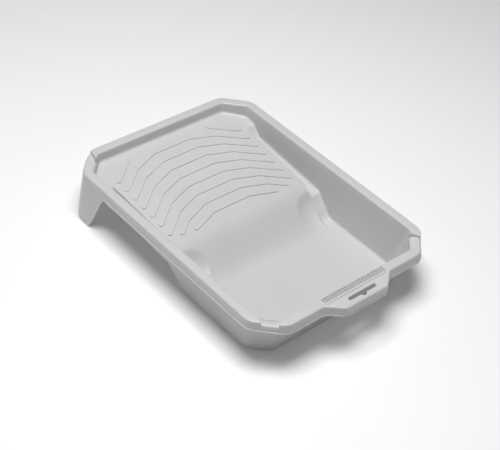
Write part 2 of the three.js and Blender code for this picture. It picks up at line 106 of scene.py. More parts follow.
GUTTER_EDGE = 103.5
GUTTER_WIDENING = 0.035
GUTTER_TOP_Y = MIDDLE_Y + 118
GUTTER_TOP_Z = 36.5
GUTTER_FALL = 0.08
GUTTER_HEAD_RISE = 0.95
GUTTER_END_Y = MIDDLE_Y + 2
GUTTER_FOOT_Y = MIDDLE_Y - 32
OUTLET_Y = MIDDLE_Y - 48
OUTLET_Z = 58.8
OUTLET_RADIUS = 56.0
OUTLET_X = (96.0, 117.0)
BORDER_WIDTH = 3.2
BORDER_RISE = 0.9
BORDER_OUTER_FADE = 0.4
BORDER_INNER_FADE = 0.3
BORDER_FRONT_RUN = 8.0
BORDER_BACK_RUN = 22.0

# The pan's height is averaged over rings of this radius, which rounds its edges. The radius grows
# round the outlets, from this distance out and this far short of the ramp's end.
EDGE_SOFTNESS = 0.9
OUTLET_SOFTNESS = 1.8
OUTLET_SOFT_X = 58.0
OUTLET_SOFT_GAP = 4.0
OUTLET_SOFT_RUN = 12.0
SAMPLE_RINGS = (0.35, 0.7, 1.0)
SAMPLES_PER_RING = 10
MIDDLE_WEIGHT = 2


def ease_curve(start, start_slope, end, end_slope, reach):
    """Points of a smooth S-shaped line between two (y, z) ends, with their slopes."""
    (y0, z0), (y1, z1) = start, end
    t = np.linspace(0, 1, EASE_POINTS)
    y = (
        (1 - t) ** 3 * y0
        + 3 * (1 - t) ** 2 * t * (y0 + reach)
        + 3 * (1 - t) * t ** 2 * (y1 - reach)
        + t ** 3 * y1
    )
    z = (
        (1 - t) ** 3 * z0
        + 3 * (1 - t) ** 2 * t * (z0 + start_slope * reach)
        + 3 * (1 - t) * t ** 2 * (z1 - end_slope * reach)
        + t ** 3 * z1
    )
    return y, z


def ramp_line(y):
    """Height of the ramp's straight stretch."""
    return RAMP_BACK_Z - RAMP_FALL * (RAMP_BACK_Y - y)


SLOPE_Y, SLOPE_Z = ease_curve(
    (SLOPE_FOOT_Y, FLOOR_TOP), 0, (RAMP_END_Y, ramp_line(RAMP_END_Y)), RAMP_FALL, SLOPE_EASE
)
GUTTER_END_Z = GUTTER_TOP_Z - GUTTER_FALL * (GUTTER_TOP_Y - GUTTER_END_Y)
MOUTH_Y, MOUTH_Z = ease_curve(
    (GUTTER_FOOT_Y, FLOOR_TOP), 0, (GUTTER_END_Y, GUTTER_END_Z), GUTTER_FALL, MOUTH_EASE
)


def ramp_height(y):
    """The ramp, rolling over into the slope and the well's floor."""
    curved = np.interp(y, SLOPE_Y, SLOPE_Z)
    return np.where(y > RAMP_END_Y, ramp_line(y), curved)


def gutter_height(y):
    """A gutter's floor: its steep head, its gentle fall and its curved mouth."""
    curved = np.interp(y, MOUTH_Y, MOUTH_Z)
    straight = GUTTER_TOP_Z - GUTTER_FALL * (GUTTER_TOP_Y - y)
    head = GUTTER_TOP_Z + GUTTER_HEAD_RISE * (y - GUTTER_TOP_Y)
    return np.where(y > GUTTER_END_Y, np.maximum(straight, head), curved)


def gutter_edge(y):
    """Distance from the tray's middle line to each long edge of the ramp."""
    return GUTTER_EDGE + GUTTER_WIDENING * (y - MIDDLE_Y)


def border_height(x, y):
    """A low raised border that runs along each long edge of the ramp."""
    inside = gutter_edge(y) - np.abs(x)
    across_places = (-BORDER_OUTER_FADE, BORDER_OUTER_FADE, BORDER_WIDTH, BORDER_WIDTH + BORDER_INNER_FADE)
    along_places = (RAMP_END_Y - BORDER_FRONT_RUN, RAMP_END_Y, GUTTER_TOP_Y, GUTTER_TOP_Y + BORDER_BACK_RUN)
    across = np.interp(inside, across_places, (0, 1, 1, 0))
    along = np.interp(y, along_places, (0, 1, 1, 0))
    return BORDER_RISE * across * along


def sharp_height(x, y):
    """Height of the pan's inside before its edges are rounded."""
    ramp = ramp_height(y)
    gutter = gutter_height(y)
    bank = ramp - (np.abs(x) - gutter_edge(y)) / DRAFT
    channel = np.where(np.abs(x) > gutter_edge(y), np.maximum(gutter, bank), ramp)
    beside = np.abs(x) - np.clip(np.abs(x), *OUTLET_X)
    reach = OUTLET_RADIUS ** 2 - beside ** 2 - (y - OUTLET_Y) ** 2
    scoop = OUTLET_Z - np.sqrt(np.maximum(reach, 0))
    open_scoop = np.where(reach > 0, np.maximum(scoop, FLOOR_TOP), np.inf)
    return np.minimum(np.minimum(ramp, channel), open_scoop)


def pan_height(x, y):
    """Height of the pan's inside, with its edges rounded, and more so round the gutters' outlets."""
    beside_slope = np.clip((np.abs(x) - OUTLET_SOFT_X) / OUTLET_SOFT_RUN, 0, 1)
    below_ramp = np.clip((RAMP_END_Y - OUTLET_SOFT_GAP - y) / OUTLET_SOFT_RUN, 0, 1)
    radius = EDGE_SOFTNESS + OUTLET_SOFTNESS * (beside_slope * below_ramp)
    total = MIDDLE_WEIGHT * sharp_height(x, y)
    count = MIDDLE_WEIGHT
    for ring in SAMPLE_RINGS:
        for step in range(SAMPLES_PER_RING):
            angle = math.tau * (step + ring) / SAMPLES_PER_RING
            aside = ring * radius * math.cos(angle)
            ahead = ring * radius * math.sin(angle)
            total = total + sharp_height(x + aside, y + ahead)
            count += 1
    return total / count + border_height(x, y)


# ---- Outlines ---------------------------------------------------------------------------------

def eased_path(corners, arc_steps=8):
    """Points and outward normals round a closed outline. Corners run clockwise seen from above,
    as (x, y, radius, steps along the side that follows)."""
    points = []
    normals = []
    count = len(corners)
    ends = []
    for index, (x, y, radius, _) in enumerate(corners):
        corner = np.array([x, y])
        before = np.array(corners[index - 1][:2]) - corner
        after = np.array(corners[(index + 1) % count][:2]) - corner
        before /= np.linalg.norm(before)
        after /= np.linalg.norm(after)
        half = math.acos(np.clip(before @ after, -1, 1)) / 2
        centre = corner + (before + after) / np.linalg.norm(before + after) * radius / math.sin(half)
        first = corner + before * radius / math.tan(half)
        last = corner + after * radius / math.tan(half)
        turn = before[0] * after[1] - before[1] * after[0]
        ends.append((centre, first, last, 1 if turn > 0 else -1))
    for index, (centre, first, last, sign) in enumerate(ends):
        first_angle = math.atan2(*(first - centre)[::-1])
        last_angle = math.atan2(*(last - centre)[::-1])
        sweep = (last_angle - first_angle + math.pi) % math.tau - math.pi
        radius = np.linalg.norm(first - centre)
        for step in range(arc_steps + 1):
            angle = first_angle + sweep * step / arc_steps
            spoke = np.array([math.cos(angle), math.sin(angle)])
            points.append(centre + spoke * radius)
            normals.append(spoke * sign)
        side_end = ends[(index + 1) % count][1]
        steps = corners[index][3]
        for step in range(1, steps):
            points.append(last + (side_end - last) * step / steps)
            normals.append(normals[-1])
    return np.array(points), np.array(normals)


SIDE_STEPS = 150
END_STEPS = 40
CUT_STEPS = 24
TAB_FLANK_STEPS = 14
TAB_SIDE_STEPS = 8
TAB_FRONT_STEPS = 24


def tray_corners(grow, lean, radius):
    """The tray's eight corners, grown outwards, with the front moved back by the lean."""
    x = HALF_WIDTH + grow
    back = BACK_Y + grow
    front = FRONT_Y - grow + lean
    cut = CORNER_CUT + grow * (2 - math.sqrt(2))
    return [
        (x, back - cut, radius, SIDE_STEPS), (x, front + cut, radius, CUT_STEPS),
        (x - cut, front, radius, END_STEPS), (-x + cut, front, radius, CUT_STEPS),
        (-x, front + cut, radius, SIDE_STEPS), (-x, back - cut, radius, CUT_STEPS),
        (-x + cut, back, radius, END_STEPS), (x - cut, back, radius, CUT_STEPS),
    ]


def fillet(corner, one_way, other_way, radius, steps):
    """Rings of a round edge between two faces that leave a corner in these directions."""
    cosine = np.clip(np.sum(one_way * other_way, axis=1), -1, 1)
    half = np.arccos(cosine) / 2
    length = (radius / np.tan(half))[:, None]
    start = corner + one_way * length
    end = corner + other_way * length
    weight = np.sin(half)[:, None]
    rings = []
    for step in range(steps + 1):
        t = step / steps
        low, mid, high = (1 - t) ** 2, 2 * t * (1 - t) * weight, t ** 2
        rings.append((start * low + corner * mid + end * high) / (low + mid + high))
    return rings


def lifted(points, z):
    """Flat points with a height added."""
    return np.column_stack([points, np.broadcast_to(z, len(points))])


# ---- Skin: skirt and legs, rim, walls, pan ----------------------------------------------------

outer_corners = tray_corners(0, 0, CORNER_RADIUS)
outer_corners[2] = (*outer_corners[2][:3], TAB_FLANK_STEPS)
outer_corners[3:3] = [
    (TAB_ROOT_HALF, FRONT_Y, TAB_ROOT_RADIUS, TAB_SIDE_STEPS),
    (TAB_TIP_HALF, TAB_FRONT_Y, TAB_CORNER_RADIUS, TAB_FRONT_STEPS),
    (-TAB_TIP_HALF, TAB_FRONT_Y, TAB_CORNER_RADIUS, TAB_SIDE_STEPS),
    (-TAB_ROOT_HALF, FRONT_Y, TAB_ROOT_RADIUS, TAB_FLANK_STEPS),
]
outer, outer_out = eased_path(outer_corners)
inner_top, inner_out = eased_path(tray_corners(-RIM_WIDTH, 0, INNER_CORNER_RADIUS))
inner_low, _ = eased_path(tray_corners(-RIM_WIDTH - DRAFT * RIM_TOP, FRONT_LEAN, FOOT_CORNER_RADIUS))

# The skirt leans out by the draft, and the tab's skirt drops straight.
TAB_SPLAY_GAP = 1.0
TAB_SPLAY_RUN = 5.0
in_tab = np.clip((FRONT_Y - TAB_SPLAY_GAP - outer[:, 1]) / TAB_SPLAY_RUN, 0, 1)
splay = DRAFT * (1 - in_tab)

# Lower edge of a leg, as (distance behind the tray's middle, height).
LEG_OUTLINE = (
    (105, 55), (108.5, 54.3), (111, 52.5), (113, 49), (128.5, 9), (130.5, 4.5), (133, 1.3), (136, 0.21),
    (143, 0.21), (150, 1.5), (155, 4.5), (158.5, 8.8), (160.5, 14), (168, 49), (169.5, 53), (174, 55),
)
LEG_LINE_Y = MIDDLE_Y + np.array([y for y, _ in LEG_OUTLINE])
LEG_LINE_Z = np.array([z for _, z in LEG_OUTLINE])
LEG_FADE_RUN = 6.0
LEG_FIT_ROUNDS = 30
LEG_STEPS = 12
LEG_SHORTEST = 0.05


def leg_low(y):
    """Height of the leg's lower edge."""
    return np.interp(y, LEG_LINE_Y, LEG_LINE_Z)


def skirt_at(z, extra=0.0):
    """Ring of the skirt at a height, moved outwards by an extra amount."""
    out = splay * (RIM_TOP - z) + extra
    return lifted(outer + outer_out * out[:, None], z)


corner_line = lifted(outer, RIM_TOP)
inward = lifted(-outer_out, 0)
down = lifted(outer_out * splay[:, None], -1)
down /= np.linalg.norm(down, axis=1)[:, None]
skirt_rings = fillet(corner_line, inward, down, RIM_EDGE_RADIUS, RIM_EDGE_STEPS)
SKIRT_SPLIT = len(skirt_rings) + 1
into_leg = np.minimum(outer[:, 1] - LEG_LINE_Y[0], LEG_LINE_Y[-1] - outer[:, 1])
leg_reach = np.clip((into_leg + LEG_FADE_RUN / 2) / LEG_FADE_RUN, 0, 1)
leg_reach *= np.abs(outer[:, 0]) > HALF_WIDTH / 2

# Down the skirt, as (height, share of the bead's width): the bead runs along the lower edge and
# fades out at the legs.
BEAD_PROFILE = ((63, 0), (Z_RIM, 0), (57.1, 0), (56.95, 0.2), (56.8, 0.75), (56.55, 1), (SKIRT_LOW, 1))
bead = BEAD_WIDTH * (1 - leg_reach)
for z, share in BEAD_PROFILE:
    skirt_rings.append(skirt_at(z, bead * share))

low = np.full(len(outer), SKIRT_LOW)
for _ in range(LEG_FIT_ROUNDS):
    here = outer + outer_out * (splay * (RIM_TOP - low))[:, None]
    low = 0.5 * low + 0.5 * np.where(leg_reach > 0, leg_low(here[:, 1]), SKIRT_LOW)
leg_rings = [skirt_rings[-1]]
for step in range(1, LEG_STEPS + 1):
    z = SKIRT_LOW + (low - SKIRT_LOW) * step / LEG_STEPS
    leg_rings.append(skirt_at(z, bead))

# Inside walls, down to where they meet the pan.
FOOT_SEARCH_ROUNDS = 40
WALL_STEPS = 6
wall_run = lifted(inner_low, 0.0) - lifted(inner_top, RIM_TOP)


def wall_at(share):
    """Points this share of the way down the inside walls."""
    return lifted(inner_top, RIM_TOP) + wall_run * share[:, None]


high_share = np.zeros(len(inner_top))
low_share = np.ones(len(inner_top))
for _ in range(FOOT_SEARCH_ROUNDS):
    share = (high_share + low_share) / 2
    here = wall_at(share)
    above = here[:, 2] > pan_height(here[:, 0], here[:, 1])
    high_share = np.where(above, share, high_share)
    low_share = np.where(above, low_share, share)
foot = wall_at(share)
wall_down = wall_run / np.linalg.norm(wall_run, axis=1)[:, None]
ahead = foot[:, :2] - inner_out
pan_in = lifted(-inner_out, pan_height(ahead[:, 0], ahead[:, 1]) - pan_height(foot[:, 0], foot[:, 1]))
pan_in /= np.linalg.norm(pan_in, axis=1)[:, None]
wall_top = lifted(inner_top, RIM_TOP)
wall_rings = fillet(wall_top, lifted(inner_out, 0), wall_down, INNER_EDGE_RADIUS, INNER_EDGE_STEPS)
foot_rings = fillet(foot, -wall_down, pan_in, FOOT_RADIUS, FOOT_STEPS)
foot_rings[-1][:, 2] = pan_height(foot_rings[-1][:, 0], foot_rings[-1][:, 1])
split_wall = wall_at(np.full(len(inner_top), (RIM_TOP - Z_RIM) / RIM_TOP))
WALL_SPLIT = len(wall_rings)
wall_rings.append(split_wall)
for step in range(1, WALL_STEPS):
    wall_rings.append(split_wall + (foot_rings[0] - split_wall) * step / WALL_STEPS)
wall_rings += foot_rings


def inside(points, loop):
    """Which points lie inside a closed outline."""
    result = np.zeros(len(points), bool)
    ends = np.roll(loop, -1, axis=0)
    for (x0, y0), (x1, y1) in zip(loop, ends):
        crosses = (y0 > points[:, 1]) != (y1 > points[:, 1])
        at = x0 + (points[:, 1] - y0) * (x1 - x0) / (y1 - y0 if y1 != y0 else 1)
        result ^= crosses & (points[:, 0] < at)
    return result


FILL_TOLERANCE = 1e-7


class Skin:
    """Collects rings and flat fills into one mesh."""

    def __init__(self):
        self.points = []
        self.faces = []

    def add_rings(self, rings, keep=None):
        """Faces between rings, or only those beside the columns that are kept."""
        base = len(self.points)
        count = len(rings[0])
        for ring in rings:
            self.points.extend(map(tuple, ring))
        for row in range(len(rings) - 1):
            for column in range(count):
                following = (column + 1) % count
                if keep is not None and not (keep[column] or keep[following]):
                    continue
                a = base + row * count + column
                b = base + row * count + following
                self.faces.append((a, b, b + count, a + count))

    def add_fill(self, loops, height, extra=()):
        """Triangles between closed loops, the first one outside, with extra points in between."""
        plan = [Vector(p[:2]) for loop in loops for p in loop]
        edges = []
        start = 0
        for loop in loops:
            edges += [(start + i, start + (i + 1) % len(loop)) for i in range(len(loop))]
            start += len(loop)
        plan += [Vector(p) for p in extra]
        found, _, triangles, _, _, _ = delaunay_2d_cdt(plan, edges, [], 0, FILL_TOLERANCE)
        flat = np.array([tuple(v) for v in found])
        triangles = np.array([t for t in triangles if len(t) == 3])
        middle = flat[triangles].mean(axis=1)
        good = inside(middle, flat[:len(loops[0])])
        start = len(loops[0])
        for loop in loops[1:]:
            good &= ~inside(middle, flat[start:start + len(loop)])
            start += len(loop)
        known = np.array([p for loop in loops for p in loop])
        z = height(flat[:, 0], flat[:, 1])
        z[:len(known)] = known[:, 2]
        base = len(self.points)
        self.points.extend(map(tuple, np.column_stack([flat, z])))
        for triangle in triangles[good]:
            a, b, c = flat[triangle]
            if (b[0] - a[0]) * (c[1] - a[1]) - (b[1] - a[1]) * (c[0] - a[0]) < 0:
                triangle = triangle[::-1]
            self.faces.append(tuple(int(base + i) for i in triangle))


POINTS_AT_ONCE = 2000


def clear_of(points, loop, gap):
    """Drops points that lie close to a loop."""
    kept = []
    for start in range(0, len(points), POINTS_AT_ONCE):
        part = points[start:start + POINTS_AT_ONCE]
        distance = np.linalg.norm(part[:, None, :] - loop[None, :, :], axis=2).min(axis=1)
        kept.append(part[distance > gap])
    return np.concatenate(kept)


def grid(xs, ys):
    """Points at every crossing of these columns and rows."""
    across, along = np.meshgrid(xs, ys)
    return np.column_stack([across.ravel(), along.ravel()])


# Where the pan has points: far apart where it is flat, and close together where it bends.
COARSE_GRID = 8.0
EDGE_GRID = 2.0
SLOPE_GRID = 1.5
OUTLET_GRID = 1.0
PAN_COLUMNS = np.linspace(-100, 100, 29)
SLOPE_COLUMNS = np.linspace(-60, 60, 13)
OUTLET_COLUMNS = np.arange(62, 101.5, OUTLET_GRID)
FLOOR_ROWS = np.arange(FRONT_Y + 30, SLOPE_FOOT_Y - 4, COARSE_GRID)
SLOPE_ROWS = np.arange(SLOPE_FOOT_Y - 4, RAMP_END_Y + 4, SLOPE_GRID)
RAMP_ROWS = np.arange(RAMP_END_Y + 6, RAMP_BACK_Y, COARSE_GRID)
OUTLET_ROWS = np.arange(SLOPE_FOOT_Y - 6, RAMP_END_Y + 4, OUTLET_GRID)
GUTTER_EDGE_ROWS = np.arange(RAMP_END_Y + 5.5, GUTTER_TOP_Y + 30, EDGE_GRID)
OUTLET_EDGE_ROWS = np.arange(SLOPE_FOOT_Y - 6, RAMP_END_Y + 4.5, OUTLET_GRID)
LOOP_CLEARANCE = 0.5

# Distances of the points from the ramp's long edge, in towards the ramp and out over the gutter.
EDGE_OFFSETS = np.array([
    -4.6, -4.0, -3.6, -3.3, -3.0, -2.6, -2.2, -1.5, -1.0, -0.6, -0.2, 0.2,
    0.6, 1.0, 1.4, 1.8, 2.2, 2.7, 3.3, 4.2, 5.4, 6.8, 8.4, 10.0,
])

pan_loop = wall_rings[-1]
pan_points = [grid(PAN_COLUMNS, FLOOR_ROWS), grid(SLOPE_COLUMNS, SLOPE_ROWS), grid(PAN_COLUMNS, RAMP_ROWS)]
for side in (-1, 1):
    pan_points.append(grid(side * OUTLET_COLUMNS, OUTLET_ROWS))
    for y in (*GUTTER_EDGE_ROWS, *OUTLET_EDGE_ROWS):
        xs = gutter_edge(y) + EDGE_OFFSETS
        pan_points.append(np.column_stack([side * xs, np.full(len(xs), y)]))
pan_points = np.concatenate(pan_points)
pan_points = pan_points[inside(pan_points, pan_loop[:, :2])]
pan_points = clear_of(pan_points, pan_loop[:, :2], LOOP_CLEARANCE)

SLOT_Y = MIDDLE_Y - 193
SLOT_HALF = 21.5
SLOT_RADIUS = 2.5
SLOT_END_STEPS = 8
NICK_RADIUS = 4.0
NICK_DEPTH = NICK_RADIUS * 0.85
NICK_STEPS = 12


def half_turn(centre, across, deep, start, steps):
    """Points of a half circle or half oval, clockwise from a starting angle in degrees."""
    points = []
    for step in range(steps + 1):
        angle = math.radians(start - step * 180 / steps)
        points.append((centre[0] + across * math.cos(angle), centre[1] + deep * math.sin(angle)))
    return points


def slot_loop():
    """The hang slot, with round ends and a nick in the middle of its front side."""
    end_x = SLOT_HALF - SLOT_RADIUS
    right_end = half_turn((end_x, SLOT_Y), SLOT_RADIUS, SLOT_RADIUS, 90, SLOT_END_STEPS)
    nick = half_turn((0, SLOT_Y - SLOT_RADIUS), NICK_RADIUS, NICK_DEPTH, 0, NICK_STEPS)
    left_end = half_turn((-end_x, SLOT_Y), SLOT_RADIUS, SLOT_RADIUS, 270, SLOT_END_STEPS)
    return lifted(np.array(right_end + nick + left_end), RIM_TOP)


# ---- Mesh helpers -----------------------------------------------------------------------------

# In metres.
WELD_DISTANCE = 2e-6
CUT_THRESHOLD = 1e-6
SLICE_THRESHOLD = 1e-7


def new_mesh_object(name, points, faces):
    """A mesh in metres from points in millimetres."""
    mesh = bpy.data.meshes.new(name)
    mesh.from_pydata([tuple(c * MM for c in p) for p in points], [], faces)
    obj = bpy.data.objects.new(name, mesh)
    bpy.context.scene.collection.objects.link(obj)
    return obj


def only(obj):
    """Makes this the one selected and active object."""
    bpy.ops.object.select_all(action="DESELECT")
    obj.select_set(True)
    bpy.context.view_layer.objects.active = obj


def apply_modifier(obj, kind, **settings):
    only(obj)
    modifier = obj.modifiers.new(kind.title(), kind)
    for name, value in settings.items():
        setattr(modifier, name, value)
    bpy.ops.object.modifier_apply(modifier=modifier.name)


def sheet(name, skin):
    """The skin as a joined mesh with no thickness yet."""
    obj = new_mesh_object(name, skin.points, skin.faces)
    only(obj)
    bpy.ops.object.mode_set(mode="EDIT")
    bpy.ops.mesh.select_all(action="SELECT")
    bpy.ops.mesh.remove_doubles(threshold=WELD_DISTANCE)
    bpy.ops.object.mode_set(mode="OBJECT")
    return obj


def cut(obj, cuts):
    """Keeps the side of each flat cut that is named: (axis, place, keep)."""
    only(obj)
    bpy.ops.object.mode_set(mode="EDIT")
    for axis, place, keep in cuts:
        where = [0, 0, 0]
        where[axis] = place * MM
        normal = [0, 0, 0]
        normal[axis] = 1
        bpy.ops.mesh.select_all(action="SELECT")
        bpy.ops.mesh.bisect(
            plane_co=where, plane_no=normal, threshold=CUT_THRESHOLD,
            clear_outer=keep == "below", clear_inner=keep == "above",
        )
    bpy.ops.object.mode_set(mode="OBJECT")


def copy_of(obj, name):
    twin = obj.copy()
    twin.data = obj.data.copy()
    twin.name = name
    bpy.context.scene.collection.objects.link(twin)
    return twin


# ---- The four sheets --------------------------------------------------------------------------

rim_skin = Skin()
rim_skin.add_rings(skirt_rings[:SKIRT_SPLIT + 1])
rim_skin.add_rings([ring[::-1] for ring in wall_rings[:WALL_SPLIT + 1]])
rim_skin.add_fill([skirt_rings[0], wall_rings[0], slot_loop()], lambda x, y: np.full(len(x), RIM_TOP))
rim = sheet("rim", rim_skin)

skirt_skin = Skin()
skirt_skin.add_rings(skirt_rings[SKIRT_SPLIT:])
skirt = sheet("skirt", skirt_skin)

pan_skin = Skin()
pan_skin.add_rings([ring[::-1] for ring in wall_rings[WALL_SPLIT:]])
pan_skin.add_fill([pan_loop], pan_height, pan_points)
pan = sheet("pan", pan_skin)

leg_skin = Skin()
leg_skin.add_rings(leg_rings, keep=low < SKIRT_LOW - LEG_SHORTEST)
legs = sheet("legs", leg_skin)


# ---- Pouring spouts ---------------------------------------------------------------------------

SPOUT_DEPTH = 4.0
SPOUT_LIP = 5.0
SPOUT_INNER_DEPTH = 6.5
SPOUT_REACH = RIM_WIDTH + 8
SPOUT_FADE = 6.0

# Distances in from the corner's cut edge at which the dip gets an edge line.
SPOUT_LINES = (SPOUT_LIP, RIM_WIDTH - 0.5)

# Out from a side of the dip, as (distance, share of its depth).
SPOUT_EDGE = ((0.0, 1.0), (0.5, 0.14), (0.9, 0.04), (1.5, 0.0))

# The two sides of a dip on the tray's left, each as its two (x, y) ends from the tray's middle.
FRONT_SPOUT = (((-128.5, -172), (-117.5, -151.5)), ((-117.5, -183), (-100.5, -169.5)))
BACK_SPOUT = (((-101.4, 190), (-107.3, 158)), ((-115.2, 177), (-120.7, 147.5)))


def slice_sheet(obj, point, normal):
    """Adds an edge line across the sheet where an upright plane meets it."""
    only(obj)
    bpy.ops.object.mode_set(mode="EDIT")
    bpy.ops.mesh.select_all(action="SELECT")
    where = (point[0] * MM, point[1] * MM, 0)
    bpy.ops.mesh.bisect(plane_co=where, plane_no=(normal[0], normal[1], 0), threshold=SLICE_THRESHOLD)
    bpy.ops.object.mode_set(mode="OBJECT")


class Spout:
    """A dip across a corner of the rim, between two slanting sides. The side is -1 for the left and 1
    for the right, and the end is -1 for the front and 1 for the back."""

    def __init__(self, sides, side, end):
        walls = []
        for start, stop in sides:
            start = np.array(start) * (-side, 1) + (0, MIDDLE_Y)
            stop = np.array(stop) * (-side, 1) + (0, MIDDLE_Y)
            run = (stop - start) / np.linalg.norm(stop - start)
            walls.append((start, np.array([-run[1], run[0]])))
        middle = (walls[0][0] + walls[1][0]) / 2
        self.walls = [(point, across * np.sign(across @ (point - middle))) for point, across in walls]
        self.out = np.array([side, end]) / math.sqrt(2)
        self.edge = (HALF_WIDTH + (BACK_Y - MIDDLE_Y) - CORNER_CUT) / math.sqrt(2)

    def mark(self, obj):
        """Adds the edge lines that the dip bends at."""
        for point, across in self.walls:
            for gap, _ in SPOUT_EDGE:
                slice_sheet(obj, point + across * gap, across)
        for inset in SPOUT_LINES:
            slice_sheet(obj, self.out * (self.edge - inset) + (0, MIDDLE_Y), self.out)

    def drop(self, x, y, z):
        """How far the dip lowers a point of the rim's outer face."""
        here = np.array([x, y])
        from_edge = self.edge - (here - (0, MIDDLE_Y)) @ self.out
        if from_edge > SPOUT_REACH:
            return 0.0
        gaps, shares = zip(*SPOUT_EDGE)
        share = np.interp(max((here - point) @ across for point, across in self.walls), gaps, shares)
        depth = np.interp(from_edge, (SPOUT_LIP, RIM_WIDTH), (SPOUT_DEPTH, SPOUT_INNER_DEPTH))
        return depth * share * np.clip((z - Z_RIM) / SPOUT_FADE, 0, 1)

    def press(self, obj):
        """Lowers each outer point of a finished piece, and its partner on the inner face with it."""
        vertices = obj.data.vertices
        half = len(vertices) // 2
        for index in range(half):
            x, y, z = (c / MM for c in vertices[index].co)
            drop = self.drop(x, y, z) * MM
            vertices[index].co.z -= drop
            vertices[index + half].co.z -= drop


SPOUTS = {
    "rim_corner_front_left": Spout(FRONT_SPOUT, -1, -1),
    "rim_corner_front_right": Spout(FRONT_SPOUT, 1, -1),
    "rim_corner_back_left": Spout(BACK_SPOUT, -1, 1),
}


# ---- Parting into regions ---------------------------------------------------------------------

X, Y = 0, 1

# Places of the parting planes. Those across the tray are distances from its middle line.
Y_BACK = MIDDLE_Y + 140
Y_RAMP = MIDDLE_Y + 19
Y_WELL = MIDDLE_Y - 55
Y_FRONT = MIDDLE_Y - 125
X_END = 87.0
X_MID = 100.0
X_OUTLET = 62.0
X_TAB = 58.0
SMOOTH_ANGLE = 32
pieces = {}


def finish_piece(obj, name, nodes):
    """Shades a piece, hangs it under the root body, and hides the nodes it stands in for."""
    only(obj)
    bpy.ops.object.shade_smooth_by_angle(angle=math.radians(SMOOTH_ANGLE))
    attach(obj, "root")
    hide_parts(*nodes)
    pieces[name] = obj


def region(source, name, cuts, nodes=None):
    """One named piece of the moulding: a copy of the sheet with the cuts made, given its thickness."""
    obj = copy_of(source, f"{name}_moulded")
    cut(obj, cuts)
    if name in SPOUTS:
        SPOUTS[name].mark(obj)
    # An even wall makes spikes where the spouts' edge lines lie close together.
    even = not name.startswith("rim_corner")
    apply_modifier(obj, "SOLIDIFY", thickness=WALL * MM, offset=-1, use_even_offset=even, use_rim=True)
    if name in SPOUTS:
        SPOUTS[name].press(obj)
    finish_piece(obj, name, [name] if nodes is None else nodes)
    return obj


def between(axis, low_place, high_place):
    """Cuts that keep what lies between two places."""
    return [(axis, low_place, "above"), (axis, high_place, "below")]


def beyond(side, inner_x):
    """The cut that keeps one side of the tray, beyond a distance from its middle."""
    return [(X, side * inner_x, "above" if side > 0 else "below")]


for side_name, side in (("left", -1), ("right", 1)):
    flank = beyond(side, X_MID)
    along = flank + between(Y, Y_FRONT, Y_BACK)
    beside_tab = between(X, *sorted((side * X_TAB, side * X_END))) + [(Y, Y_FRONT, "below")]
    front_corner = beyond(side, X_END) + [(Y, Y_FRONT, "below")]
    back_corner = beyond(side, X_END) + [(Y, Y_BACK, "above")]
    region(rim, f"rim_{side_name}", along)
    region(rim, f"rim_front_{side_name}", beside_tab)
    region(rim, f"rim_corner_front_{side_name}", front_corner)
    region(rim, f"rim_corner_back_{side_name}", back_corner)
    region(skirt, f"skirt_{side_name}", along)
    region(skirt, f"skirt_front_{side_name}", beside_tab)
    region(skirt, f"skirt_corner_front_{side_name}", front_corner)
    region(skirt, f"skirt_corner_back_{side_name}", back_corner)
    region(legs, f"leg_{side_name}", beyond(side, 0))
    region(pan, f"gutter_{side_name}", flank + between(Y, Y_RAMP, Y_BACK),
           [f"ramp_wall_{side_name}", f"gutter_floor_{side_name}", f"gutter_bank_{side_name}"])
    region(pan, f"outlet_{side_name}", beyond(side, X_OUTLET) + between(Y, Y_WELL, Y_RAMP))
    region(pan, f"well_wall_{side_name}", flank + between(Y, Y_FRONT, Y_WELL))
    region(pan, f"well_corner_{side_name}", front_corner)
    region(pan, f"ramp_corner_{side_name}", back_corner)
back_span = between(X, -X_END, X_END) + [(Y, Y_BACK, "above")]
front_span = between(X, -X_END, X_END) + [(Y, Y_FRONT, "below")]
tab_span = between(X, -X_TAB, X_TAB) + [(Y, Y_FRONT, "below")]
region(rim, "rim_back", back_span)
region(rim, "handle_tab", tab_span + [(Y, COMB_CUT_Y, "below")])
region(rim, "brush_comb", tab_span + [(Y, COMB_CUT_Y, "above")])
region(skirt, "skirt_back", back_span)
region(skirt, "handle_skirt", tab_span)
region(pan, "ramp_back_wall", back_span)
region(pan, "well_front_wall", front_span)
region(pan, "ramp_plate", between(X, -X_MID, X_MID) + between(Y, Y_RAMP, Y_BACK))
region(pan, "roll_off_slope", between(X, -X_OUTLET, X_OUTLET) + between(Y, Y_WELL, Y_RAMP))
region(pan, "well_floor", between(X, -X_MID, X_MID) + between(Y, Y_FRONT, Y_WELL))
for obj in (rim, skirt, pan, legs):
    bpy.data.objects.remove(obj)


# ---- Brush comb and groove --------------------------------------------------------------------

COMB_TEETH = 32
COMB_HALF_LENGTH = 46.5
COMB_SLOT_DEPTH = 1.7
COMB_SLOT_LENGTH = 7.2
COMB_SLOT_GAP = 1.6
COMB_INNER_Y = FRONT_Y + RIM_WIDTH
GROOVE_Y = MIDDLE_Y - 185.4
GROOVE_HALF_WIDTH = 0.4
GROOVE_DEPTH = 0.7
CUTTER_TOP = RIM_TOP + 2


def block(name, x_span, y_span, z_span):
    """A plain cutting block between these limits."""
    bpy.ops.object.select_all(action="DESELECT")
    spans = (x_span, y_span, z_span)
    bpy.ops.mesh.primitive_cube_add(size=1, location=[sum(span) / 2 * MM for span in spans])
    obj = bpy.context.active_object
    obj.name = name
    bpy.ops.object.mode_set(mode="EDIT")
    bpy.ops.transform.resize(value=[(span[1] - span[0]) * MM for span in spans])
    bpy.ops.object.mode_set(mode="OBJECT")
    bpy.ops.object.transform_apply()
    return obj


def cut_with(piece, cutter):
    """Takes the cutter's shape out of a piece, and removes the cutter."""
    apply_modifier(piece, "BOOLEAN", operation="DIFFERENCE", object=cutter, solver="EXACT")
    bpy.data.objects.remove(cutter)


